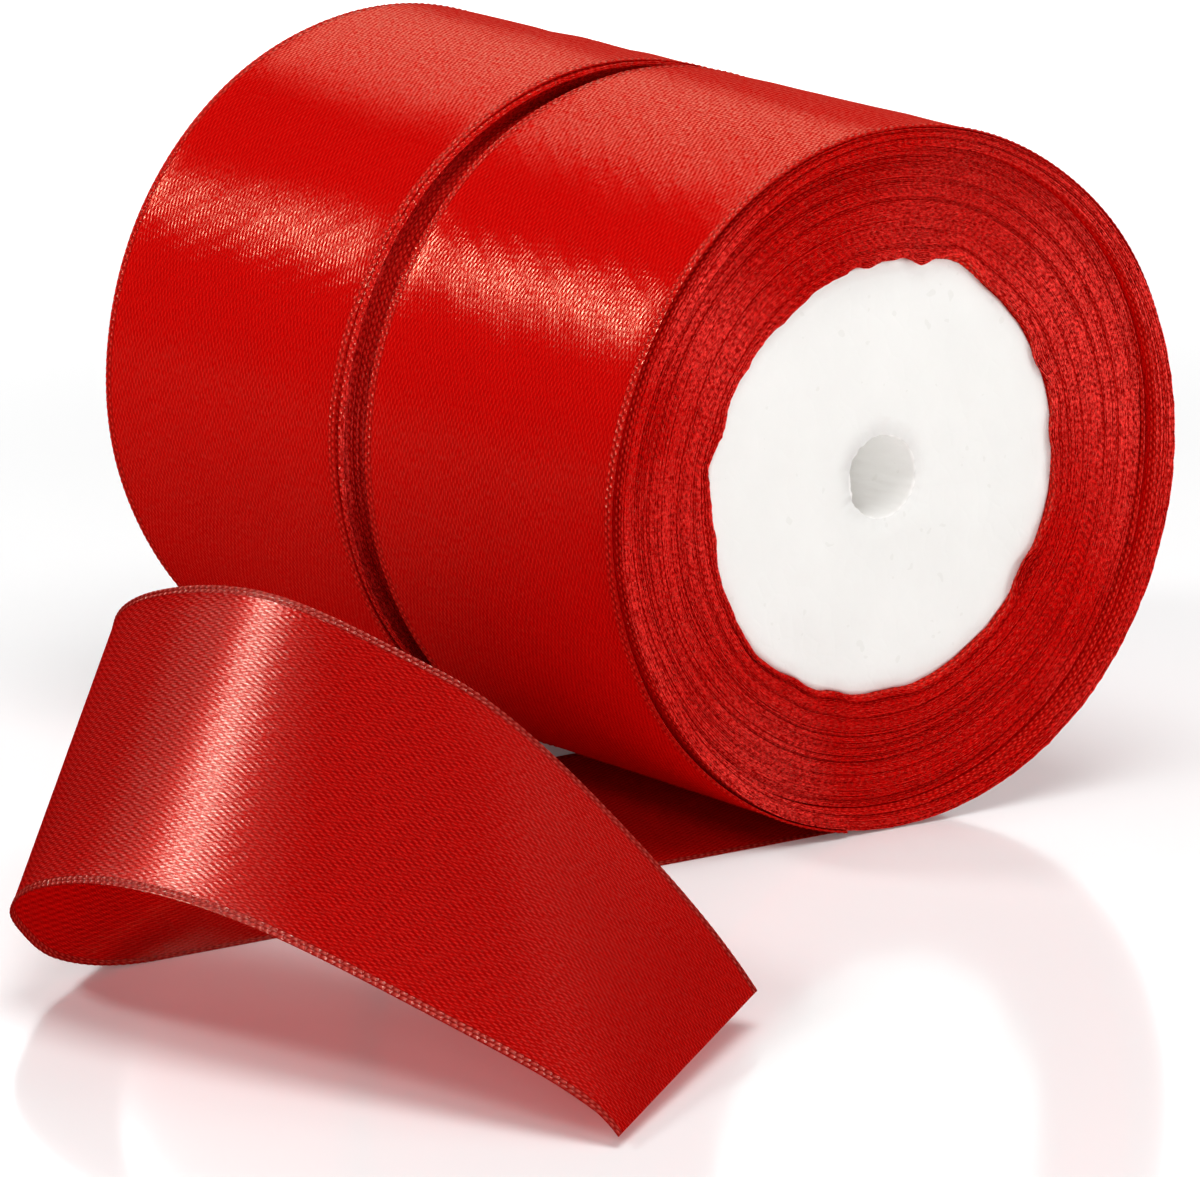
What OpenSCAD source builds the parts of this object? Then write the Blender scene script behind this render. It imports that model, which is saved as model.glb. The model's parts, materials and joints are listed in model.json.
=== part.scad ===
// Two rolls of satin ribbon, each wound on a white foam core, with the
// front roll's loose end laid out on the table in one open loop.
// Origin: centre of the front roll's spindle hole. +Y runs along the hole to
// the rear roll, the loose end leaves towards -X, and +Z is up. The table is
// at z = -roll_r.

/* [Ribbon] */
// Width of the ribbon
ribbon_w = 50; // [25:1:52]
// Thickness of the loose ribbon, as a closed solid
ribbon_t = 0.2; // [0.15:0.05:0.5]

/* [Rolls] */
// Outer radius of each roll
roll_r = 43; // [38:0.5:50]
// Radial thickness of the crinkled turns next to the core
inner_turns = 3.5; // [1:0.5:5]
// Radial thickness of the outer turns, which have slipped along the roll
outer_turns = 2.5; // [1:0.25:4]
// How far the outer turns have slipped, away from the other roll
outer_slip = 2.2; // [0:0.1:3]
// How far the loose turn and the loose end sit towards the rear roll
loose_slip = 0.6; // [-1:0.1:1]
// Gap between the two rolls' middle turns
roll_gap = 1.8; // [1:0.1:20]

/* [Foam cores] */
// Radius of the foam core
core_r = 26.5; // [20:0.5:28]
// Radius of the spindle hole through the core
bore_r = 5; // [3:0.5:8]
// How far the core's faces sit below the ribbon's edges
core_recess = 1; // [0.5:0.25:3]

/* [Adhesive tape] */
// Thickness of the tape
tape_t = 0.15; // [0.1:0.05:0.3]
// Width of the tape, measured along the roll
tape_w = 19; // [12:1:24]
// Length of the tape under the first turn, as an angle round the core
core_tape_angle = 50; // [20:5:90]
// Length of the tape on the rear roll's end, as an angle round the roll
end_tape_angle = 34; // [15:1:60]

/* [Loose end] */
// Length of the loose end, from the foot of the roll to the cut
tail_l = 224; // [222:0.5:228]
// Sideways turn of the loose end as it leaves the roll, in degrees
tail_turn = -0.3; // [-3:0.1:3]
// Slant of the cut: its lean along the ribbon for each step across it
cut_slant = 0.22; // [0.2:0.02:0.6]

/* [Hidden] */
// The bends along the loose end, as [place, half length, angle, slant].
// The ribbon bends only about straight lines, so it never stretches. A line's
// slant is how far it leans along the ribbon for each step across it. A bend
// centred past the cut curls the cut end.
bends = [
    [88, 21, 77.5, 1.27],
    [120.5, 17, 57, 0.54],
    [146.5, 38.5, 53.5, 0.45],
    [198.5, 14, 30.5, 1.08],
    [233, 31, 60, 0],
];
// Where the ribbon starts to lift off the table
lift_off = 60;
// Steps along the loose end
steps = 96;
// Space between the loose turn and the turns that stay on the roll
turn_clearance = 0.3;
// Angle of the outer turn that has come loose from the front roll
loose_turn_angle = 350;
// The ribbon's first turn starts at this angle on the core
first_turn_angle = -45;
// The rear roll's free end is taped down at this angle
rear_end_angle = -14;
// How far a cutter runs past the solid that it cuts
past = 1;

front_r = roll_r - ribbon_t - turn_clearance;
rear_y = ribbon_w + roll_gap;
core_w = ribbon_w - 2 * core_recess;
mid_r = core_r + inner_turns;

ribbon_red = [0.76, 0.03, 0.03];
foam_white = [0.95, 0.95, 0.93];
tape_clear = [0.88, 0.86, 0.78];

$fn = 180;

// A band wound round the Y axis, from radius r0 to r1 and from y0 along w.
// It starts at an angle from +X towards +Z and runs on for a further angle.
module band(r0, r1, y0, w, start = 0, angle = 360) {
    rotate([90, 0, 0])
        rotate([0, 0, start])
            rotate_extrude(angle = angle)
                translate([r0, -y0 - w])
                    square([r1 - r0, w]);
}

// A foam core with its spindle hole, centred on y
module core(y) {
    translate([0, y, 0])
        rotate([90, 0, 0])
            difference() {
                cylinder(r = core_r, h = core_w, center = true);
                cylinder(r = bore_r, h = core_w + 2 * past, center = true);
            }
}

// The tape that holds the ribbon's first turn to a core centred on y
module core_tape(y) {
    band(core_r, core_r + tape_t, y - tape_w / 2, tape_w, first_turn_angle, core_tape_angle);
}

// The crinkled first turns of a roll centred on y, lying over the core's tape
module first_turns(y) {
    difference() {
        band(core_r, mid_r, y - ribbon_w / 2, ribbon_w);
        band(core_r - past, core_r + tape_t, y - tape_w / 2, tape_w, first_turn_angle, core_tape_angle);
    }
}

module front_core() {
    color(foam_white) core(0);
}

module front_core_tape() {
    color(tape_clear) core_tape(0);
}

module front_inner_turns() {
    color(ribbon_red) first_turns(0);
}

module front_middle_turns() {
    color(ribbon_red) band(mid_r, front_r - outer_turns, -ribbon_w / 2, ribbon_w);
}

module front_outer_turns() {
    color(ribbon_red) band(front_r - outer_turns, front_r, -ribbon_w / 2 - outer_slip, ribbon_w);
}

// The outermost turn, which the loose end pulls off the front roll
module front_loose_turn() {
    color(ribbon_red)
        band(roll_r - ribbon_t, roll_r, loose_slip - ribbon_w / 2, ribbon_w, -90, loose_turn_angle);
}

module rear_core() {
    color(foam_white) core(rear_y);
}

module rear_core_tape() {
    color(tape_clear) core_tape(rear_y);
}

module rear_inner_turns() {
    color(ribbon_red) first_turns(rear_y);
}

module rear_middle_turns() {
    color(ribbon_red) band(mid_r, roll_r - outer_turns, rear_y - ribbon_w / 2, ribbon_w);
}

module rear_outer_turns() {
    color(ribbon_red)
        band(roll_r - outer_turns, roll_r, rear_y - ribbon_w / 2 + outer_slip, ribbon_w);
}

// The tape that holds down the rear roll's free end
module rear_end_tape() {
    color(tape_clear)
        band(roll_r, roll_r + tape_t, rear_y + outer_slip - tape_w / 2, tape_w, rear_end_angle, end_tape_angle);
}

function sum(v, i = 0) = i < len(v) ? v[i] + sum(v, i + 1) : 0;

// Bending at a place along the loose end, in degrees for each millimetre.
// Each bend rises and falls smoothly over its own length.
function bend_rate(s) = sum([
    for (b = bends)
        let (u = (s - b[0]) / b[1])
        abs(u) < 1 ? b[2] / b[1] * (1 + cos(180 * u)) / 2 : 0
]);

// Slant of the bending line at a place along the loose end. The first line
// lies across the roll, and the last one is the cut.
slants = concat(
    [[0, tan(tail_turn)], [lift_off, bends[0][3]]],
    [for (b = bends) if (b[0] < tail_l) [b[0], b[3]]],
    [[tail_l, cut_slant]]
);
function slant(s) = lookup(s, slants);

// Turns the vector v about the unit axis a
function turned(v, a, angle) =
    v * cos(angle) + cross(a, v) * sin(angle) + a * (a * v) * (1 - cos(angle));

// The ribbon at one step: [place, point, ahead, across, up]. Each step moves
// ahead and turns all three directions about the bending line.
ds = tail_l / steps;
function line_across(f) = f[3] - slant(f[0]) * f[2];
function bent(f, share) = let (
    r = line_across(f),
    a = r / norm(r),
    angle = share * ds * bend_rate(f[0])
) [f[0], f[1], turned(f[2], a, angle), turned(f[3], a, angle), turned(f[4], a, angle)];
function next_step(f) = let (g = bent(f, 1)) [f[0] + ds, f[1] + ds * g[2], g[2], g[3], g[4]];
first_step = [
    0,
    [0, loose_slip, ribbon_t / 2 - roll_r],
    [-cos(tail_turn), -sin(tail_turn), 0],
    [-sin(tail_turn), cos(tail_turn), 0],
    [0, 0, 1],
];
tail_steps = [for (i = 0, f = first_step; i <= steps; f = next_step(f), i = i + 1) f];

// The four corners of the ribbon's section along one bending line
function section(f) = let (
    half = line_across(f) * ribbon_w / 2,
    up = bent(f, 0.5)[4] * ribbon_t / 2
) [f[1] - half - up, f[1] + half - up, f[1] + half + up, f[1] - half + up];

module ribbon_tail() {
    rings = [for (f = tail_steps) each section(f)];
    sides = [
        for (i = [0 : steps - 1], k = [0 : 3])
            let (a = 4 * i + k, b = 4 * i + (k + 1) % 4)
            each [[a, b, b + 4], [a, b + 4, a + 4]]
    ];
    last = 4 * steps;
    ends = [[0, 3, 2], [0, 2, 1], [last, last + 1, last + 2], [last, last + 2, last + 3]];
    color(ribbon_red) polyhedron(points = rings, faces = concat(sides, ends));
}

front_core();
front_core_tape();
front_inner_turns();
front_middle_turns();
front_outer_turns();
front_loose_turn();
ribbon_tail();
rear_core();
rear_core_tape();
rear_inner_turns();
rear_middle_turns();
rear_outer_turns();
rear_end_tape();
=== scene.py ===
"""Twin rolls of red satin ribbon: the winding of both rolls turn by turn, the loose
end in its open loop, the foam cores and the tapes, built around the CAD frame."""
import json
from math import cos, pi, radians, sin, tan

import bpy
import numpy as np
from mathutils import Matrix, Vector


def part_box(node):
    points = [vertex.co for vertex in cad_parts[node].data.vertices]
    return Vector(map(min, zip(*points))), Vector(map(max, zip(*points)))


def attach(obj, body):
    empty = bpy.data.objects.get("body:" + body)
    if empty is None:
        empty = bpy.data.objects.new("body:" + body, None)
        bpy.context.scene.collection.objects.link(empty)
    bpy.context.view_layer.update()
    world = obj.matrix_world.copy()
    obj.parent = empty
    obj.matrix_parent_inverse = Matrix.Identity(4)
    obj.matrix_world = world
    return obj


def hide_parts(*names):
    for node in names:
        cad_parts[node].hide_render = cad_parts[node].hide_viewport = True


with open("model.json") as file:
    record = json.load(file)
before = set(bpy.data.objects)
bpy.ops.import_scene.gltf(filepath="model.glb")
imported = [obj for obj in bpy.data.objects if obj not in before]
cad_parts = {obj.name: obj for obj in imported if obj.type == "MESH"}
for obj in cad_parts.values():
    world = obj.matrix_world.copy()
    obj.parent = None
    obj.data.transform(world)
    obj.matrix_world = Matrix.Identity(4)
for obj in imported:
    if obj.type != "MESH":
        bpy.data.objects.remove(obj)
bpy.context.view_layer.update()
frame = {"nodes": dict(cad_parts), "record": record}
MM = 0.001

# ---------------------------------------------------------------- sizes, from the frame
ROLL_R = -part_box("ribbon_tail")[0].z
CORE_R = round(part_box("front_core")[1].z, 4)
BORE_R = frame["record"]["mounts"][0]["dims"]["r_mm"] * MM
CORE_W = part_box("front_core")[1].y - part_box("front_core")[0].y
RIBBON_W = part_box("front_middle_turns")[1].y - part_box("front_middle_turns")[0].y
REAR_Y = (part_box("rear_core")[0].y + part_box("rear_core")[1].y) / 2
INNER_R = round(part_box("front_inner_turns")[1].z, 4)
OUTER_R = round(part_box("rear_middle_turns")[1].z, 4)
OUTER_SLIP = -RIBBON_W / 2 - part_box("front_outer_turns")[0].y
LOOSE_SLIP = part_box("front_loose_turn")[0].y + RIBBON_W / 2
FLOOR_Z = -ROLL_R

# The real ribbon. Tight turns lie one ribbon thickness apart.
RIBBON_T = 0.158 * MM
# Two rows of woven beads run along each edge, at these distances from it
BEAD_ROWS = (0.32 * MM, 0.95 * MM)
BEAD_PITCH = 1.0 * MM
BEAD_H = 0.15 * MM
BEAD_HALF = 0.30 * MM
EDGE_BAND = 1.32 * MM
# The weave: the floats' length along the ribbon, their rows across it, and the
# slanted ridges that their stagger makes, as spacings along and across
FLOAT_PITCH = 1.32 * MM
ROW_PITCH = 0.38 * MM
RIDGE_ALONG, RIDGE_ACROSS = 2.2 * MM, 0.68 * MM

# Angles round a roll, in degrees from +X towards +Z: where the loose end leaves the
# front roll, how far its loose turn reaches, and where the rear roll's end is taped
FOOT = -90.0
LOOSE_TURN = 350.0
REAR_END = -14.0

# How the wound turns lie. The outermost turns are apart from the rest by a little
# more than one thickness, and no turn's edge lies deeper than the limit.
FRONT_FIRST_R = ROLL_R - 1.6 * RIBBON_T
REAR_FIRST_R = ROLL_R - 1.55 * RIBBON_T
GROOVE_COUNT = 34
GROOVE_LIMIT = 0.9 * MM
TURN_PLAY = 0.09 * MM
SLOW_PLAY = 0.22 * MM
YARN_JITTER = 0.05 * MM
ROUNDNESS = 0.10 * MM
# The front roll is squeezed in at the left, over these angles, and its slipped outer
# turns stand open at the lower right
FRONT_SQUEEZE = 1.25 * MM
SQUEEZE_RISE, SQUEEZE_FALL = (100, 140), (205, 250)
OPEN_ANGLE, OPEN_HALF, OPEN_SHARE = -22, 75, 0.75
# The loose turn drifts from the loose end's place to the outer turns' within this angle,
# and sits a little nearer the rear roll at the top
DRIFT_ANGLE = 75
SET_BACK, SET_BACK_ANGLE, SET_BACK_HALF = 0.6 * MM, 104, 50
# The rear roll's slip towards its far side, as a share of the outer turns' slip, by
# the number of turns from the outside
REAR_SLIP_TURNS = [0, 1, 2.2, 2.6, 14, 17]
REAR_SLIP_SHARE = [0.82, 0.62, 0.45, 1.4, 1.4, 0.0]

# Steps in each turn. The many turns in the middle show only their edges.
FINE_STEPS, COARSE_STEPS = 300, 144
LOOSE_TURN_STEPS, REAR_TURN_STEPS = 900, 1000
TAIL_STEPS = 900

rng = np.random.default_rng(11)


# ---------------------------------------------------------------- helpers
def smooth(x, low, high):
    """0 below low, 1 above high, and a smooth rise between them."""
    t = np.clip((np.asarray(x, float) - low) / (high - low), 0, 1)
    return t * t * (3 - 2 * t)


def bump(angle, centre, half):
    """A smooth bump round the roll: 1 at centre, 0 from half degrees away."""
    d = (np.asarray(angle, float) - centre + 180) % 360 - 180
    return np.where(abs(d) < half, (1 + np.cos(pi * d / half)) / 2, 0.0)


def ring_noise(seed, waves, low=2):
    """A smooth function of the angle in degrees, between about -1 and 1."""
    r = np.random.default_rng(seed)
    orders = np.arange(low, low + waves)
    amount = r.normal(size=waves) / np.sqrt(waves)
    phase = r.uniform(0, 2 * pi, waves)

    def value(angle):
        a = np.radians(np.asarray(angle, float))[..., None]
        return (amount * np.cos(orders * a + phase)).sum(-1)

    return value


def new_mesh(name, points, faces, uv=None):
    """A mesh object from points (n, 3), quads (m, 4) and a texture place for each corner."""
    mesh = bpy.data.meshes.new(name)
    faces = np.asarray(faces, np.int32)
    mesh.vertices.add(len(points))
    mesh.vertices.foreach_set("co", np.asarray(points, np.float32).ravel())
    mesh.loops.add(faces.size)
    mesh.loops.foreach_set("vertex_index", faces.ravel())
    mesh.polygons.add(len(faces))
    starts = np.arange(0, faces.size, faces.shape[1], dtype=np.int32)
    mesh.polygons.foreach_set("loop_start", starts)
    mesh.update(calc_edges=True)
    if uv is not None:
        layer = mesh.uv_layers.new(name="along")
        layer.data.foreach_set("uv", np.asarray(uv, np.float32)[faces.ravel()].ravel())
    mesh.polygons.foreach_set("use_smooth", np.full(len(faces), True))
    mesh.validate()
    mesh.update()
    piece = bpy.data.objects.new(name, mesh)
    bpy.context.scene.collection.objects.link(piece)
    return piece


def strip_mesh(name, outer, inner, u, v, flip):
    """A thin closed strip from grids of points on its two faces, mapped by u and v."""
    rows, half = outer.shape[:2]
    points = np.concatenate([outer, inner[:, ::-1]], 1).reshape(-1, 3)
    both_u = np.concatenate([u, u[:, ::-1]], 1)
    both_v = np.concatenate([v, v[:, ::-1]], 1)
    faces = strip_faces(rows, half)
    if flip:
        faces = faces[:, ::-1]
    return new_mesh(name, points, faces, np.stack([both_u, both_v], -1).reshape(-1, 2))


def strip_faces(rows, half):
    """Quads of a flat tube: each row has half points on one face and half back on the other."""
    width = 2 * half
    i, k = np.meshgrid(np.arange(rows - 1), np.arange(width), indexing="ij")
    a, b = i * width + k, i * width + (k + 1) % width
    sides = np.stack([a, b, b + width, a + width], -1).reshape(-1, 4)
    j = np.arange(half - 1)
    start = np.stack([j, width - 1 - j, width - 2 - j, j + 1], -1)
    end = start[:, ::-1] + (rows - 1) * width
    return np.concatenate([sides, start, end])


def beads(along, across):
    """Height of the two rows of woven beads along each edge."""
    from_edge = RIBBON_W / 2 - abs(across)
    height = 0.0
    for row, place in enumerate(BEAD_ROWS):
        shape = np.clip(1 - ((from_edge - place) / BEAD_HALF) ** 2, 0, 1)
        wave = 0.5 + 0.5 * np.cos(2 * pi * (along / BEAD_PITCH + row / 2))
        height = height + BEAD_H * shape * (0.25 + 0.75 * wave) * (1 - 0.35 * row)
    return height


def ribbon_section(fine):
    """Places across the ribbon, and the ribbon's half thickness at each."""
    edge = RIBBON_W / 2
    if fine:
        steps = np.array([0.0, 0.12, 0.32, 0.5, 0.64, 0.8, 0.95, 1.1, 1.3]) * MM
        inner = np.linspace(-edge + 4 * MM, edge - 4 * MM, 9)
        across = np.concatenate([-edge + steps, inner, (edge - steps)[::-1]])
    else:
        across = np.array([-edge, -edge + 0.15 * MM, -edge + 2.2 * MM, edge - 0.15 * MM, edge])
    half_t = np.full(len(across), RIBBON_T / 2)
    half_t[[0, -1]] = RIBBON_T * 0.2
    return across, half_t


# ---------------------------------------------------------------- the windings
def wind(name, body, start, first, last, y_mid, radius, shift, lean, steps, y_dir=1.0):
    """A stretch of wound ribbon, from turn first to turn last, counted from the outer end."""
    rows = int(round((last - first) * steps)) + 1
    turn = np.linspace(first, last, rows)
    angle = start + 360 * turn
    across, half_t = ribbon_section(False)
    r_mid = radius(turn, angle)
    arcs = np.diff(np.radians(angle)) * (r_mid[1:] + r_mid[:-1]) / 2
    along = np.concatenate([[0], np.cumsum(arcs)])
    tip = 1 - smooth(across + RIBBON_W / 2, 0.1 * MM, 2.0 * MM)
    lift = lean(turn, angle)[:, None] * tip
    jitter = rng.normal(size=(rows, len(across), 2)) * YARN_JITTER
    jitter[:, 2] = 0
    r = r_mid[:, None] + lift + jitter[..., 1] * 0.3
    y = y_mid + y_dir * (across + shift(turn, angle)[:, None] + jitter[..., 0])
    a = np.radians(angle)[:, None]

    def side(sign):
        rr = r + sign * half_t
        return np.stack([rr * np.cos(a), y, rr * np.sin(a)], -1)

    u = np.repeat(along[:, None], len(across), 1)
    v = np.repeat((across + RIBBON_W / 2)[None], rows, 0)
    piece = strip_mesh(name, side(1), side(-1), u, v, y_dir > 0)
    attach(piece, body)
    return piece


def turns_between(r_out, r_in):
    return (r_out - r_in) / RIBBON_T


# The first turns were wound over a rough core and are crinkled. Each bump of the inner
# edge is [angle, half width, outward]; inward ones fold over the core's face.
EDGE_BUMPS = [
    [4, 11, -1.1], [26, 9, -1.2], [66, 13, 1.5], [79, 5, -0.7], [97, 5, -0.4], [124, 14, -0.5],
    [142, 6, -0.4], [160, 7, -0.7], [170, 5, 0.5], [188, 14, -0.6], [224, 18, 0.8], [247, 7, 0.4],
    [262, 6, 0.3], [286, 12, 0.4], [326, 12, -1.6], [338, 7, -0.5], [355, 6, -0.4],
]
edge_ripple = ring_noise(5, 40, 9)


def edge_bumps(angle):
    """How far the winding's inner edge stands outward or inward of the core's rim."""
    folds = sum(out * bump(angle, centre, half) for centre, half, out in EDGE_BUMPS) * MM
    return folds + 0.12 * MM * edge_ripple(angle)


def groove_set(seed, count, turns):
    """Turns whose edges lie deeper: turn, width in turns, centre angle, half angle, depth."""
    r = np.random.default_rng(seed)
    ranges = ((2, turns), (0.7, 1.8), (0, 360), (70, 200), (0.35 * MM, 0.95 * MM))
    return [[r.uniform(low, high) for low, high in ranges] for _ in range(count)]


def grooves(turn, angle, found):
    """How deep the ribbon's edge lies in the grooves found for a roll."""
    depth = 0.0
    for place, width, centre, half, deep in found:
        depth = depth + deep * np.exp(-((turn - place) / width) ** 2) * bump(angle, centre, half)
    return np.minimum(depth, GROOVE_LIMIT)


def roll_pieces(prefix, body, start, first_turn, r_first, y_mid, y_dir, squeezed, stepped, seed):
    """The outer, middle and inner stretches of one roll's winding. squeezed is how far the
    turns are pressed in at the left, and stepped outer turns have slipped in steps."""
    n_outer = turns_between(r_first, OUTER_R)
    n_middle = turns_between(OUTER_R, INNER_R)
    n_inner = turns_between(INNER_R, CORE_R + RIBBON_T / 2)
    total = n_outer + n_middle + n_inner
    found = groove_set(seed, GROOVE_COUNT, total)
    slow_waves = 8
    wander = [ring_noise(seed + 10 + k, 6, 1) for k in range(slow_waves)]
    per_turn = np.random.default_rng(seed + 1).normal(size=200) * TURN_PLAY

    def radius(turn, angle):
        r = r_first - RIBBON_T * (turn - first_turn)
        depth = (r - CORE_R) / (ROLL_R - CORE_R)
        left = smooth(angle % 360, *SQUEEZE_RISE) * (1 - smooth(angle % 360, *SQUEEZE_FALL))
        inside = np.clip((r - CORE_R) / (OUTER_R - CORE_R), 0, 1) ** 2
        inside = inside * smooth(turn - first_turn, n_outer - 0.3, n_outer + 0.3)
        opened = OPEN_SHARE * squeezed * bump(angle, OPEN_ANGLE, OPEN_HALF) * inside
        return r - squeezed * left * depth ** 3 - opened

    def shift(turn, angle):
        deep = turn - first_turn
        if stepped:
            slip = OUTER_SLIP * np.interp(deep, REAR_SLIP_TURNS, REAR_SLIP_SHARE)
        else:
            slip = OUTER_SLIP * (1 - smooth(deep, n_outer - 0.5, n_outer + 0.3))
        index = np.clip(deep.astype(int), 0, len(per_turn) - 2)
        own = per_turn[index] + (per_turn[index + 1] - per_turn[index]) * (deep - index)
        # slow waves round the roll, changing from one to the next towards the core
        blend = deep / total * (slow_waves - 1.0)
        low = np.clip(blend.astype(int), 0, slow_waves - 2)
        waves = np.stack([w(angle) for w in wander])
        pick = np.arange(len(angle))
        slow = waves[low, pick] * (1 - (blend - low)) + waves[low + 1, pick] * (blend - low)
        groove = grooves(deep, angle, found) * (0.2 if stepped else 1.0)
        return -slip + own + SLOW_PLAY * slow + groove

    def lean(turn, angle):
        # inward folds die out over about 7 turns from the core, and outward ones over 14
        from_core = total - (turn - first_turn)
        folds = edge_bumps(angle)
        return folds * np.exp(-from_core / np.where(folds < 0, 7.0, 14.0))

    stretches = (
        ("outer", n_outer, FINE_STEPS),
        ("middle", n_middle, COARSE_STEPS),
        ("inner", n_inner, FINE_STEPS),
    )
    pieces = []
    begin = first_turn
    for label, turns, steps in stretches:
        end = begin + turns
        name = f"{prefix}_{label}_winding"
        piece = wind(name, body, start, begin, end, y_mid, radius, shift, lean, steps, y_dir)
        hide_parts(f"{prefix}_{label}_turns")
        pieces.append(piece)
        begin = end
    return pieces


front_parts = roll_pieces(
    "front", "front_roll", FOOT, LOOSE_TURN / 360, FRONT_FIRST_R, 0.0, 1.0, FRONT_SQUEEZE, False, 3,
)
rear_parts = roll_pieces(
    "rear", "rear_roll", REAR_END, 1.0, REAR_FIRST_R, REAR_Y, -1.0, 0.0, True, 23,
)

# ---------------------------------------------------------------- the loose ribbon
TAIL_L = 224 * MM
TAIL_FACES = TAIL_STEPS * 2 * len(ribbon_section(True)[0])
TAIL_TURN = radians(-0.3)
CUT_SLANT = 0.22
LIFT_OFF = 60 * MM
# The bends along the loose end, as [place, half length, angle, slant], as in the CAD model
BENDS = [
    [88 * MM, 21 * MM, 77.5, 1.27],
    [120.5 * MM, 17 * MM, 57, 0.54],
    [146.5 * MM, 38.5 * MM, 53.5, 0.45],
    [198.5 * MM, 14 * MM, 30.5, 1.08],
    [233 * MM, 31 * MM, 60, 0],
]
# The slant of the bending line at places along it. The first line lies across the roll.
SLANTS = [
    [0, tan(TAIL_TURN)],
    [LIFT_OFF, BENDS[0][3]],
    *([place, slant] for place, _, _, slant in BENDS if place < TAIL_L),
    [TAIL_L, CUT_SLANT],
]


def bend_rate(s):
    """Bending in radians for each metre."""
    total = 0.0
    for place, half, angle, _ in BENDS:
        u = (s - place) / half
        if abs(u) < 1:
            total += radians(angle) / half * (1 + cos(pi * u)) / 2
    return total


def slant(s):
    return float(np.interp(s, [a[0] for a in SLANTS], [a[1] for a in SLANTS]))


def turned(v, axis, angle):
    """The vector v turned about the unit axis."""
    along_axis = axis * np.dot(axis, v)
    return v * cos(angle) + np.cross(axis, v) * sin(angle) + along_axis * (1 - cos(angle))


def tail_lines(steps):
    """The bending lines along the loose end: point, line, upward direction and slant for each."""
    ds = TAIL_L / steps
    point = np.array([0.0, LOOSE_SLIP, FLOOR_Z + RIBBON_T / 2])
    ahead = np.array([-cos(TAIL_TURN), -sin(TAIL_TURN), 0.0])
    across = np.array([-sin(TAIL_TURN), cos(TAIL_TURN), 0.0])
    up = np.array([0.0, 0.0, 1.0])
    out = []
    for i in range(steps + 1):
        s = i * ds
        line = across - slant(s) * ahead
        out.append((s, point.copy(), line, up.copy(), slant(s)))
        axis = line / np.linalg.norm(line)
        angle = bend_rate(s) * ds
        ahead, across, up = (turned(v, axis, angle) for v in (ahead, across, up))
        point = point + ahead * ds
    return out


wave_a = ring_noise(31, 9, 2)
wave_b = ring_noise(32, 12, 3)


def surface_waves(angle, across):
    """How far an outermost turn stands proud, on a roll not quite round or straight."""
    y = across / RIBBON_W
    return ROUNDNESS * (wave_a(angle + 90 * y) + wave_b(angle - 140 * y) * np.cos(pi * y))


def wound_turn(start, y_mid, y_dir, r_mid, degrees, steps, side_shift, waves):
    """The outermost turn of a roll, with its beads: grids of the points on its two faces and
    of the places along and across it. Rows run inward from the outer end."""
    across, half_t = ribbon_section(True)
    rows = steps + 1
    angle = start + np.linspace(0, degrees, rows)
    along = np.radians(angle - start) * r_mid
    grid_a, grid_v = np.meshgrid(angle, across, indexing="ij")
    u = np.repeat(-along[:, None], len(across), 1)
    r = r_mid + waves(grid_a, grid_v)
    y = y_mid + y_dir * (grid_v + side_shift(angle)[:, None])
    bead = beads(u, grid_v)
    a = np.radians(grid_a)

    def side(sign):
        rr = r + sign * (half_t + bead * (1.0 if sign > 0 else 0.3))
        return np.stack([rr * np.cos(a), y, rr * np.sin(a)], -1)

    return side(1), side(-1), u, np.repeat((across + RIBBON_W / 2)[None], rows, 0)


def loose_ribbon():
    """One strip: the cut end, the loop, the foot, and the outer turn up to where it is wound in."""
    r_mid = ROLL_R - RIBBON_T / 2

    def side_shift(angle):
        on_roll = angle - FOOT
        settled = LOOSE_SLIP - (OUTER_SLIP + LOOSE_SLIP) * smooth(on_roll, 0, DRIFT_ANGLE)
        return settled + SET_BACK * bump(angle, SET_BACK_ANGLE, SET_BACK_HALF)

    def waves(angle, across):
        on_roll = angle - FOOT
        free = smooth(on_roll, 20, 60) * (1 - smooth(on_roll, 300, 345))
        return surface_waves(angle, across) * free

    outer, inner, u, v = wound_turn(
        FOOT, 0.0, 1.0, r_mid, LOOSE_TURN, LOOSE_TURN_STEPS, side_shift, waves,
    )
    across, half_t = ribbon_section(True)
    lines = tail_lines(TAIL_STEPS)
    t_out, t_in, t_u, t_v = [], [], [], []
    for s, point, line, up, lean in lines[1:]:
        place = point + across[:, None] * line
        along = s - lean * across
        bead = beads(along, across)
        top = place + (half_t + bead * 0.3)[:, None] * up
        bottom = place - (half_t + bead)[:, None] * up
        t_out.append(bottom)
        t_in.append(top)
        t_u.append(along)
        t_v.append(across + RIBBON_W / 2)
    t_out, t_in, t_u, t_v = (np.array(x)[::-1] for x in (t_out, t_in, t_u, t_v))
    t_out[..., 2] = np.maximum(t_out[..., 2], FLOOR_Z)
    outer[..., 2] = np.maximum(outer[..., 2], FLOOR_Z)
    piece = strip_mesh(
        "front_loose_ribbon", np.concatenate([t_out, outer]), np.concatenate([t_in, inner]),
        np.concatenate([t_u, u]), np.concatenate([t_v, v]), True,
    )
    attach(piece, "loose_ribbon")
    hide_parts("front_loose_turn", "ribbon_tail")
    return piece


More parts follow.
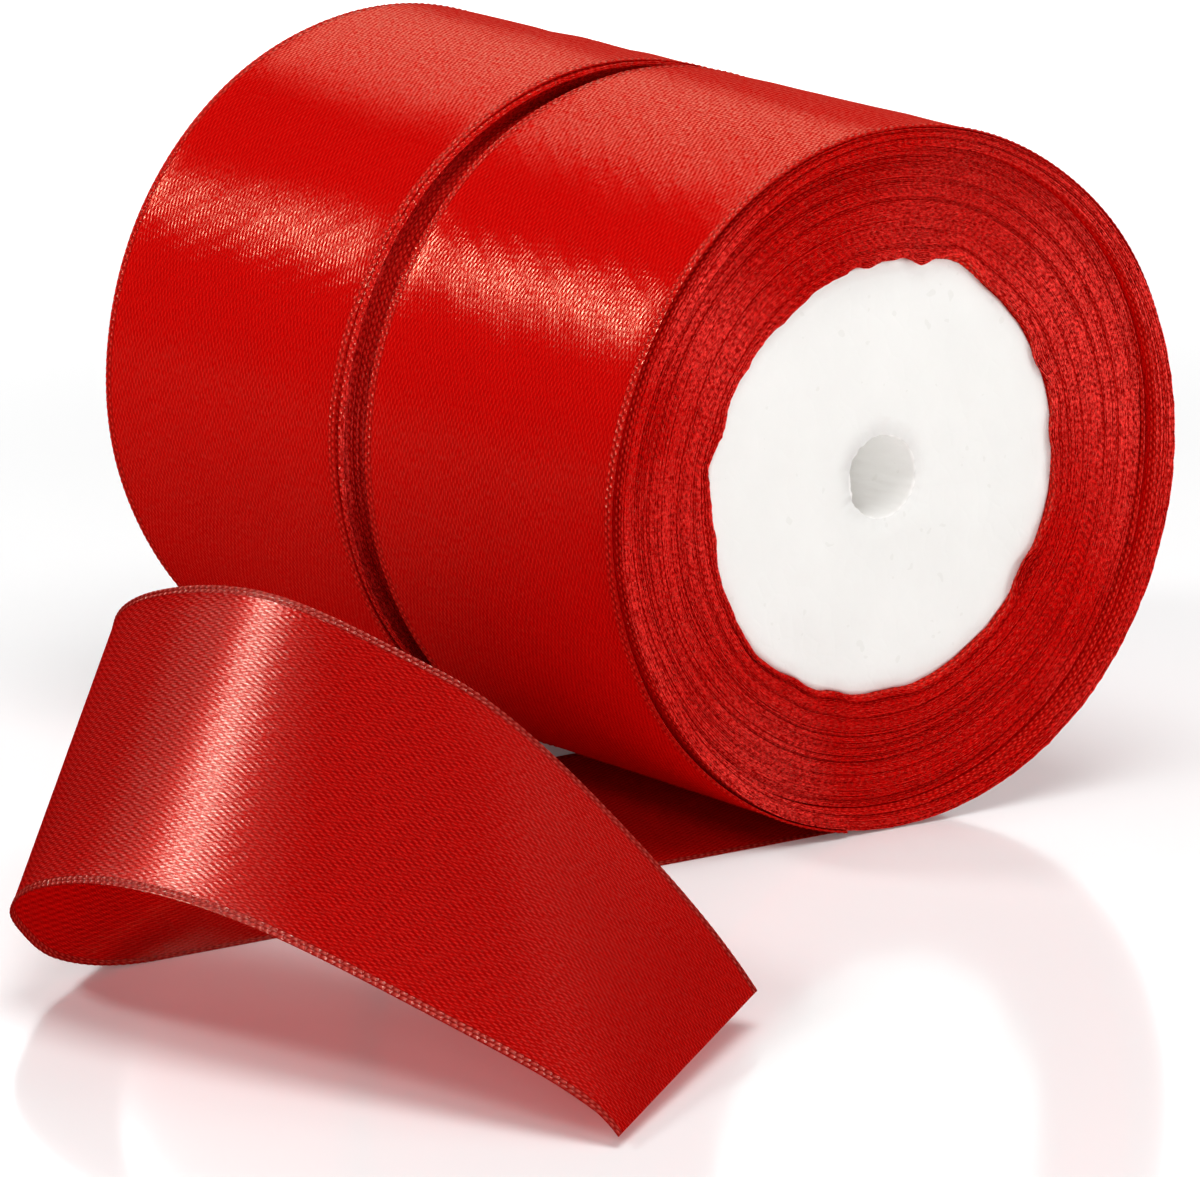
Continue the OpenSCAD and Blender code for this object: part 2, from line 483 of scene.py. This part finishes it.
def rear_outer_turn():
    """The rear roll's outermost turn, whose end is taped down."""
    r_mid = ROLL_R - RIBBON_T / 2

    def side_shift(angle):
        return np.full(len(angle), -OUTER_SLIP)

    def waves(angle, across):
        on_roll = angle - REAR_END
        return surface_waves(angle + 130, across) * smooth(on_roll, 50, 90)

    outer, inner, u, v = wound_turn(
        REAR_END, REAR_Y, -1.0, r_mid, 360, REAR_TURN_STEPS, side_shift, waves,
    )
    piece = strip_mesh("rear_outermost_turn", outer, inner, u, v, False)
    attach(piece, "rear_roll")
    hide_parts("rear_outer_turns")
    return piece


loose = loose_ribbon()
rear_turn = rear_outer_turn()


# ---------------------------------------------------------------- foam cores
# The hole was punched, and its left side broke off straight, at this angle and this
# share of its radius
BREAK_ANGLE = 188
BREAK_SHARE = 0.93
# The cores are a little smaller than the turns round them
CORE_FIT = 0.02 * MM


def foam_core(name, body, y_mid, y_dir):
    """A foam disc with its spindle hole, whose rim follows the crinkled first turns."""
    steps = 240
    angle = np.arange(steps) * 360 / steps
    half = CORE_W / 2
    rim = np.maximum(edge_bumps(angle), -0.05 * MM)
    dent = ring_noise(77, 24, 5)
    chord = BREAK_SHARE / np.maximum(np.cos(np.radians(angle - BREAK_ANGLE)), 0.5)
    hole_r = BORE_R * (np.minimum(1.0, chord) + 0.012 * dent(angle))
    a = np.radians(angle)
    # each ring is (radius, depth from the mid plane towards the seen face)
    rings = [(hole_r, -half), (hole_r, 0.0), (hole_r, half - 0.5 * MM), (hole_r * 1.04, half)]
    for share in np.linspace(0.12, 0.97, 12):
        uneven = ring_noise(int(100 + 40 * share), 8, 1)(angle)
        rings.append((hole_r * 1.04 + (CORE_R - hole_r) * share, half + 0.12 * MM * uneven))
    rings += [
        (CORE_R + rim, half - 0.3 * MM),
        (CORE_R + rim * 0.5, half - 1.5 * MM),
        (CORE_R - CORE_FIT, half - 3 * MM),
        (CORE_R - CORE_FIT, -half + 0.5 * MM),
        (CORE_R - 0.6 * MM, -half),
    ]
    points = np.concatenate([
        np.stack([r * np.cos(a), np.full(steps, y_mid) - y_dir * d, r * np.sin(a)], -1)
        for r, d in rings
    ])
    n = len(rings)
    i, k = np.meshgrid(np.arange(n), np.arange(steps), indexing="ij")
    p, q = i * steps + k, i * steps + (k + 1) % steps
    up = ((i + 1) % n) * steps
    faces = np.stack([p, q, up + (k + 1) % steps, up + k], -1).reshape(-1, 4)
    if y_dir < 0:
        faces = faces[:, ::-1]
    piece = new_mesh(name, points, faces)
    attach(piece, body)
    return piece


front_foam = foam_core("front_foam_core", "front_roll", 0.0, 1.0)
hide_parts("front_core")
rear_foam = foam_core("rear_foam_core", "rear_roll", REAR_Y, -1.0)
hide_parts("rear_core")


# ---------------------------------------------------------------- materials
class Nodes:
    """A short way to build a node tree."""

    def __init__(self, material):
        self.material = material
        material.use_nodes = True
        self.tree = material.node_tree
        self.tree.nodes.clear()

    def add(self, kind, **values):
        node = self.tree.nodes.new(kind)
        for key, value in values.items():
            setattr(node, key, value)
        return node

    def link(self, value, socket):
        """Sets a plain number or colour on the socket, and joins anything else to it."""
        if isinstance(value, (int, float, tuple)):
            socket.default_value = value
        else:
            self.tree.links.new(value, socket)

    def math(self, operation, a, b=0.0, c=0.0):
        node = self.add("ShaderNodeMath", operation=operation)
        for socket, value in zip(node.inputs, (a, b, c)):
            self.link(value, socket)
        return node.outputs[0]

    def plus(self, a, b):
        return self.math("ADD", a, b)

    def minus(self, a, b):
        return self.math("SUBTRACT", a, b)

    def times(self, a, b):
        return self.math("MULTIPLY", a, b)

    def ramp(self, value, low, slope):
        """0 below low, then a rise with this slope up to 1."""
        return self.clamp(self.times(self.minus(value, low), slope))

    def clamp(self, value):
        node = self.add("ShaderNodeClamp")
        self.link(value, node.inputs[0])
        return node.outputs[0]

    def mix(self, factor, a, b):
        """From colour a at factor 0 to colour b at factor 1."""
        node = self.add("ShaderNodeMix", data_type="RGBA")
        self.link(factor, node.inputs[0])
        self.link(a, node.inputs[6])
        self.link(b, node.inputs[7])
        return node.outputs[2]

    def noise(self, vector, scale, detail=3.0, rough=0.5):
        node = self.add("ShaderNodeTexNoise")
        self.link(vector, node.inputs["Vector"])
        node.inputs["Scale"].default_value = scale
        node.inputs["Detail"].default_value = detail
        node.inputs["Roughness"].default_value = rough
        return node.outputs["Fac"]

    def bump(self, height, strength, distance, normal=None):
        node = self.add("ShaderNodeBump")
        node.inputs["Strength"].default_value = strength
        node.inputs["Distance"].default_value = distance
        self.link(height, node.inputs["Height"])
        if normal is not None:
            self.link(normal, node.inputs["Normal"])
        return node.outputs["Normal"]

    def blend(self, share, first, second):
        """The first shader, with this share of the second over it."""
        node = self.add("ShaderNodeMixShader")
        for value, socket in zip((share, first, second), node.inputs):
            self.link(value, socket)
        return node.outputs[0]

    def shader(self, settings):
        """A Principled shader with these settings, joined to the material's output."""
        node = self.add("ShaderNodeBsdfPrincipled")
        for key, value in settings.items():
            self.link(value, node.inputs[key])
        self.out = self.add("ShaderNodeOutputMaterial")
        self.tree.links.new(node.outputs[0], self.out.inputs["Surface"])
        return node


# The reds of the satin: between its floats and on them, and between the beads and on them
ROLL_REDS = {
    "deep": (0.45, 0.0010, 0.0008, 1), "bright": (0.69, 0.003, 0.002, 1),
    "gap": (0.38, 0.0008, 0.0006, 1), "knot": (0.90, 0.02, 0.013, 1),
}
# on the loose end, the knots' pale pink is a painted sheen on the beads
TAIL_REDS_AND_SHEEN = {
    "deep": (0.40, 0.0006, 0.0006, 1), "bright": (1.0, 0.020, 0.014, 1),
    "gap": (0.44, 0.0010, 0.0008, 1), "knot": (1.0, 0.19, 0.14, 1),
}
# The light that comes through the single layer of the loose end
THROUGH_REDS = {
    "deep": (0.70, 0.001, 0.001, 1), "bright": (1.0, 0.010, 0.007, 1),
    "gap": (0.54, 0.001, 0.001, 1), "knot": (1.0, 0.13, 0.09, 1),
}
# The imported edges of the turns: dull and bright specks where they are calm and lively. The bright
# specks are painted glints; the dull ones are the edges' own grain.
CALM_SPECKS_AND_GLINTS = ((0.44, 0.001, 0.001, 1), (0.66, 0.004, 0.003, 1))
LIVELY_SPECKS_AND_GLINTS = ((0.38, 0.001, 0.001, 1), (1.0, 0.05, 0.04, 1))
TIP = 0.13 * MM
# The shine, as lobes: dull and lit colour, roughness, stretch and share of the surface.
# The loose end has a wide red sheen and over it a narrower, paler shine.
ROLL_SHINE = (
    ((0.15, 0.02, 0.01, 1), (0.86, 0.62, 0.42, 1), 0.27, 0.55, 0.14),
)
TAIL_SHINE = (
    ((1.0, 0.02, 0.01, 1), (1.0, 0.02, 0.01, 1), 0.40, 0.60, 0.12),
    ((0.12, 0.16, 0.13, 1), (0.60, 0.95, 0.80, 1), 0.29, 0.78, 0.13),
)


def woven_colour(n, tone, on_edge, bead, reds):
    """One of the sets of reds above, laid over the floats and the beads."""
    body = n.mix(n.clamp(tone), reds["deep"], reds["bright"])
    return n.mix(on_edge, body, n.mix(n.clamp(bead), reds["gap"], reds["knot"]))


def satin(name, glow=0.0, grain=0.0):
    """Red satin: warp floats run along the ribbon, so highlights spread across it.
    glow lets light through a single layer, and grain roughens the edges of packed turns and paints
    glints on them as bright specks."""
    n = Nodes(bpy.data.materials.new(name))
    uv = n.add("ShaderNodeUVMap", uv_map="along").outputs[0]
    split = n.add("ShaderNodeSeparateXYZ")
    n.link(uv, split.inputs[0])
    along, across = split.outputs[0], split.outputs[1]
    # floats lie along the ribbon in rows, like bricks
    rows = n.math("COSINE", n.times(across, pi / ROW_PITCH))
    run = n.math("COSINE", n.times(along, 2 * pi / FLOAT_PITCH))
    run = n.times(run, n.math("SIGN", rows))
    row = n.math("ABSOLUTE", rows)
    # their stagger shows as fine ridges at a slant
    ridge = n.plus(n.times(along, 2 * pi / RIDGE_ALONG), n.times(across, 2 * pi / RIDGE_ACROSS))
    ridge = n.math("COSINE", ridge)
    weave = n.plus(n.times(n.times(run, row), 0.2), n.times(ridge, 0.3))
    weave = n.plus(weave, 0.5)
    floats = n.times(n.math("POWER", row, 2.5), n.clamp(n.plus(n.times(run, 1.4), 0.35)))
    mixed = n.add("ShaderNodeCombineXYZ")
    n.link(along, mixed.inputs[0])
    n.link(n.times(across, 3.0), mixed.inputs[1])
    yarn = n.noise(mixed.outputs[0], 900.0, 2.0)
    patch = n.noise(uv, 60.0, 3.0)
    tone = n.plus(n.times(floats, 0.9), n.times(yarn, 0.8))
    tone = n.minus(n.plus(tone, n.times(ridge, 0.22)), 0.18)
    # two rows of beads along each edge
    edge = n.math("MINIMUM", across, n.minus(RIBBON_W, across))
    bead = 0.0
    for number, place in enumerate(BEAD_ROWS):
        off = n.math("DIVIDE", n.minus(edge, place), BEAD_HALF)
        shape = n.math("MAXIMUM", n.minus(1.0, n.times(off, off)), 0.0)
        turns = n.plus(n.times(along, 2 * pi / BEAD_PITCH), pi * number)
        wave = n.plus(n.times(n.math("COSINE", turns), 0.5), 0.5)
        bead = n.plus(bead, n.times(shape, wave))
    on_edge = n.math("LESS_THAN", edge, EDGE_BAND)
    in_body = n.minus(1.0, on_edge)
    colour = woven_colour(n, tone, on_edge, bead, TAIL_REDS_AND_SHEEN if glow else ROLL_REDS)
    normal = n.bump(n.times(weave, in_body), 0.5 if glow else 0.6, 0.06 * MM)
    normal = n.bump(yarn, 0.5, 0.04 * MM, normal)
    normal = n.bump(bead, 1.0, 0.25 * MM, normal)
    if not glow:
        # a wound turn takes up the unevenness of the turns below it
        normal = n.bump(n.noise(uv, 140.0, 1.0), 1.0, 0.14 * MM, normal)
        normal = n.bump(n.noise(uv, 520.0, 2.0), 1.0, 0.012 * MM, normal)
    if grain:
        where = n.add("ShaderNodeTexCoord").outputs["Object"]
        speck = n.noise(where, 2400.0, 2.0)
        glitter = n.ramp(speck, 0.36, 4.0)
        patchy = n.ramp(n.noise(where, 30.0, 1.0), 0.38, 4.0)
        # painted glints: the bright specks in the edges' colour stand in for sparkle on their
        # loops; the bump from speck is their real roughness
        specks = n.mix(patchy, n.mix(glitter, *CALM_SPECKS_AND_GLINTS), n.mix(glitter, *LIVELY_SPECKS_AND_GLINTS))
        colour = n.mix(n.math("LESS_THAN", edge, TIP), colour, specks)
        normal = n.bump(speck, grain, 0.15 * MM, normal)
    # all shine comes from the lobes below, so there is no white rim
    body = n.shader({
        "Base Color": colour, "Roughness": 0.6, "Specular IOR Level": 0.0, "Normal": normal,
    })
    surface = body.outputs[0]
    if glow:
        through = n.add("ShaderNodeBsdfTranslucent")
        n.link(woven_colour(n, tone, on_edge, bead, THROUGH_REDS), through.inputs["Color"])
        surface = n.blend(glow, surface, through.outputs[0])
    # the pale shine breaks up into sparkles on the floats and the yarn
    sparkle = n.times(n.minus(n.noise(mixed.outputs[0], 1500.0, 1.0), 0.40), 3.0)
    sparkle = n.clamp(n.plus(sparkle, n.times(n.minus(floats, 0.25), 0.9)))
    tangent = n.add("ShaderNodeTangent", direction_type="UV_MAP", uv_map="along").outputs[0]
    for dull, lit, rough, stretch, share in TAIL_SHINE if glow else ROLL_SHINE:
        shine = n.add("ShaderNodeBsdfAnisotropic", distribution="BECKMANN")
        n.link(lit if dull == lit else n.mix(sparkle, dull, lit), shine.inputs["Color"])
        n.link(n.plus(rough, n.times(patch, 0.06)), shine.inputs["Roughness"])
        n.link(stretch, shine.inputs["Anisotropy"])
        n.link(normal, shine.inputs["Normal"])
        n.link(tangent, shine.inputs["Tangent"])
        surface = n.blend(share, surface, shine.outputs[0])
    n.link(surface, n.out.inputs["Surface"])
    return n.material


def foam():
    """White bead foam, cut to a slightly rough face."""
    n = Nodes(bpy.data.materials.new("foam_white"))
    where = n.add("ShaderNodeTexCoord").outputs["Object"]
    cells = n.add("ShaderNodeTexVoronoi", feature="DISTANCE_TO_EDGE")
    n.link(where, cells.inputs["Vector"])
    cells.inputs["Scale"].default_value = 420.0
    cell = n.math("MINIMUM", cells.outputs["Distance"], 0.12)
    grain = n.noise(where, 900.0, 4.0)
    cloud = n.noise(where, 90.0, 4.0)
    specks = n.math("GREATER_THAN", n.noise(where, 520.0, 1.0), 0.73)
    colour = n.mix(cloud, (0.67, 0.66, 0.64, 1), (0.73, 0.72, 0.70, 1))
    colour = n.mix(n.times(specks, 0.25), colour, (0.55, 0.54, 0.5, 1))
    height = n.plus(n.times(cell, 2.0), n.times(grain, 0.5))
    # in place of light that soaks through the foam, the wall of the hole glows a little
    flat = n.add("ShaderNodeVectorMath", operation="MULTIPLY")
    n.link(where, flat.inputs[0])
    flat.inputs[1].default_value = (1, 0, 1)
    reach = n.add("ShaderNodeVectorMath", operation="LENGTH")
    n.link(flat.outputs[0], reach.inputs[0])
    in_hole = n.math("LESS_THAN", reach.outputs["Value"], BORE_R * 1.03)
    n.shader({
        "Base Color": colour,
        "Roughness": 0.7,
        "Subsurface Weight": 0.5,
        "Subsurface Radius": (0.007, 0.007, 0.007),
        "Emission Color": (1.0, 0.96, 0.92, 1),
        "Emission Strength": n.times(in_hole, 0.10),
        "Normal": n.bump(height, 0.3, 0.15 * MM),
    })
    return n.material


def clear_tape():
    """Clear adhesive tape, slightly yellow, with a faint haze."""
    n = Nodes(bpy.data.materials.new("tape_clear"))
    where = n.add("ShaderNodeTexCoord").outputs["Object"]
    haze = n.noise(where, 300.0, 3.0)
    n.shader({
        "Base Color": n.mix(haze, (0.80, 0.77, 0.68, 1), (0.88, 0.86, 0.80, 1)),
        "Roughness": n.plus(0.12, n.times(haze, 0.15)),
        "Alpha": 0.35,
        "Normal": n.bump(haze, 0.1, 0.05 * MM),
    })
    return n.material


# How far from the front roll the floor begins to brighten and stops, and its own light
FLOOR_NEAR = (0.20, 0.04)
FLOOR_FAR = (0.65, 0.95)


def floor_material():
    """A glossy white table that is lit more and more strongly away from the object."""
    n = Nodes(bpy.data.materials.new("floor_white"))
    where = n.add("ShaderNodeTexCoord").outputs["Object"]
    cloud = n.noise(where, 6.0, 2.0)
    length = n.add("ShaderNodeVectorMath", operation="LENGTH")
    n.link(where, length.inputs[0])
    far = n.add("ShaderNodeMapRange", interpolation_type="SMOOTHSTEP")
    n.link(length.outputs["Value"], far.inputs["Value"])
    for end, reach, light in (("Min", *FLOOR_NEAR), ("Max", *FLOOR_FAR)):
        far.inputs[f"From {end}"].default_value = reach
        far.inputs[f"To {end}"].default_value = light
    n.shader({
        "Base Color": n.mix(cloud, (0.92, 0.92, 0.92, 1), (0.94, 0.94, 0.94, 1)),
        "Roughness": 0.12,
        "Specular IOR Level": 0.5,
        "Emission Color": (1.0, 1.0, 1.0, 1),
        "Emission Strength": far.outputs["Result"],
    })
    return n.material


satin_red = satin("satin_red")
satin_loose = satin("satin_red_loose", glow=0.70)
satin_edges = satin("satin_red_edges", grain=0.8)
foam_white = foam()
tape_clear = clear_tape()


def paint(piece, *materials):
    piece.data.materials.clear()
    for material in materials:
        piece.data.materials.append(material)


for piece in front_parts + rear_parts:
    paint(piece, satin_edges)
paint(rear_turn, satin_red)
paint(loose, satin_red, satin_loose)
# the loose end's faces come first in its mesh, and the turn on the roll follows
is_tail = np.arange(len(loose.data.polygons)) < TAIL_FACES
loose.data.polygons.foreach_set("material_index", is_tail.astype(np.int32))
for piece in (front_foam, rear_foam):
    paint(piece, foam_white)
for node in ("front_core_tape", "rear_core_tape", "rear_end_tape"):
    paint(frame["nodes"][node], tape_clear)

# ---------------------------------------------------------------- floor, lights and camera
FLOOR_HALF = 3.0
FLOOR_DROP = 0.02 * MM
corners = np.array([[-1, -1, 0], [1, -1, 0], [1, 1, 0], [-1, 1, 0]]) * FLOOR_HALF
floor = new_mesh("floor", corners + [0, 0, FLOOR_Z - FLOOR_DROP], [[0, 1, 2, 3]])
paint(floor, floor_material())
floor.visible_glossy = False

# The lamps face this place, between the front roll and the loop
MIDDLE = Vector((-30, 0, -10)) * MM


def softbox(name, towards, distance, side, power, diffuse=True, gloss=True):
    """A square lamp in the direction towards, facing the middle of the object. It can be
    kept out of plain light or out of shine."""
    lamp = bpy.data.lights.new(name, "AREA")
    lamp.shape, lamp.size, lamp.size_y = "RECTANGLE", side, side
    lamp.energy = power
    box = bpy.data.objects.new(name, lamp)
    bpy.context.scene.collection.objects.link(box)
    direction = Vector(towards).normalized()
    box.location = MIDDLE + direction * distance
    box.rotation_euler = direction.to_track_quat("Z", "Y").to_euler()
    box.visible_diffuse, box.visible_glossy = diffuse, gloss
    return box


softbox("softbox_top", (-0.05, -0.28, 0.95), 1.0, 0.70, 7.4, gloss=False)
softbox("softbox_back_left", (-0.66, 0.40, 0.64), 0.9, 0.18, 2.5)
softbox("softbox_back_left_low", (-0.66, 0.40, 0.64), 0.91, 0.18, 3.0, diffuse=False)
softbox("softbox_back_right", (0.39, 0.78, 0.49), 0.9, 0.37, 1.8, diffuse=False)
softbox("softbox_front_right", (0.60, -0.78, 0.20), 0.9, 0.40, 2.6, gloss=False)
softbox("softbox_front_left", (-0.50, -0.82, 0.06), 1.3, 0.50, 11.5, gloss=False)

# A dim room, dimmer still in shine, with a bright white backdrop behind the object. The
# camera itself sees plain white.
ROOM_LIGHT, ROOM_SHINE = 0.16, 0.03
BACKDROP, BACKDROP_FROM, BACKDROP_FULL = 1.1, 0.92, 0.97
BACKDROP_SIDE = (0.58, 0.79, 0.17)
world = bpy.data.worlds.new("studio")
bpy.context.scene.world = world
world.use_nodes = True
tree = world.node_tree
back = tree.nodes["Background"]
back.inputs["Color"].default_value = (1, 1, 1, 1)
place = tree.nodes.new("ShaderNodeTexCoord")
facing = tree.nodes.new("ShaderNodeVectorMath")
facing.operation = "DOT_PRODUCT"
facing.inputs[1].default_value = BACKDROP_SIDE
backdrop = tree.nodes.new("ShaderNodeMapRange")
backdrop.interpolation_type = "SMOOTHSTEP"
backdrop.inputs["From Min"].default_value = BACKDROP_FROM
backdrop.inputs["From Max"].default_value = BACKDROP_FULL
backdrop.inputs["To Max"].default_value = BACKDROP
seen = tree.nodes.new("ShaderNodeLightPath")
dim = tree.nodes.new("ShaderNodeMix")
dim.inputs[2].default_value, dim.inputs[3].default_value = ROOM_LIGHT, ROOM_SHINE
tree.links.new(seen.outputs["Is Glossy Ray"], dim.inputs[0])
tree.links.new(dim.outputs[0], backdrop.inputs["To Min"])
level = tree.nodes.new("ShaderNodeMix")
level.inputs[3].default_value = 1.0
tree.links.new(place.outputs["Generated"], facing.inputs[0])
tree.links.new(facing.outputs["Value"], backdrop.inputs["Value"])
tree.links.new(seen.outputs["Is Camera Ray"], level.inputs[0])
tree.links.new(backdrop.outputs["Result"], level.inputs[2])
tree.links.new(level.outputs[0], back.inputs["Strength"])

AZIMUTH, ELEVATION = radians(-36.66), radians(13.18)
AIM = Vector((-30.48, -8.16, -12.49)) * MM
DISTANCE = 1.2
SENSOR = 36.0
LENS = 300.4
level_side = Vector((sin(AZIMUTH), -cos(AZIMUTH), 0)) * cos(ELEVATION)
to_camera = level_side + Vector((0, 0, sin(ELEVATION)))
camera_data = bpy.data.cameras.new("camera")
camera_data.lens, camera_data.sensor_width, camera_data.sensor_fit = LENS, SENSOR, "HORIZONTAL"
camera_data.clip_start, camera_data.clip_end = 0.05, 20.0
camera = bpy.data.objects.new("camera", camera_data)
bpy.context.scene.collection.objects.link(camera)
camera.location = AIM + to_camera * DISTANCE
camera.rotation_euler = to_camera.to_track_quat("Z", "Y").to_euler()
bpy.context.scene.camera = camera
bpy.context.scene.view_settings.view_transform = "Standard"
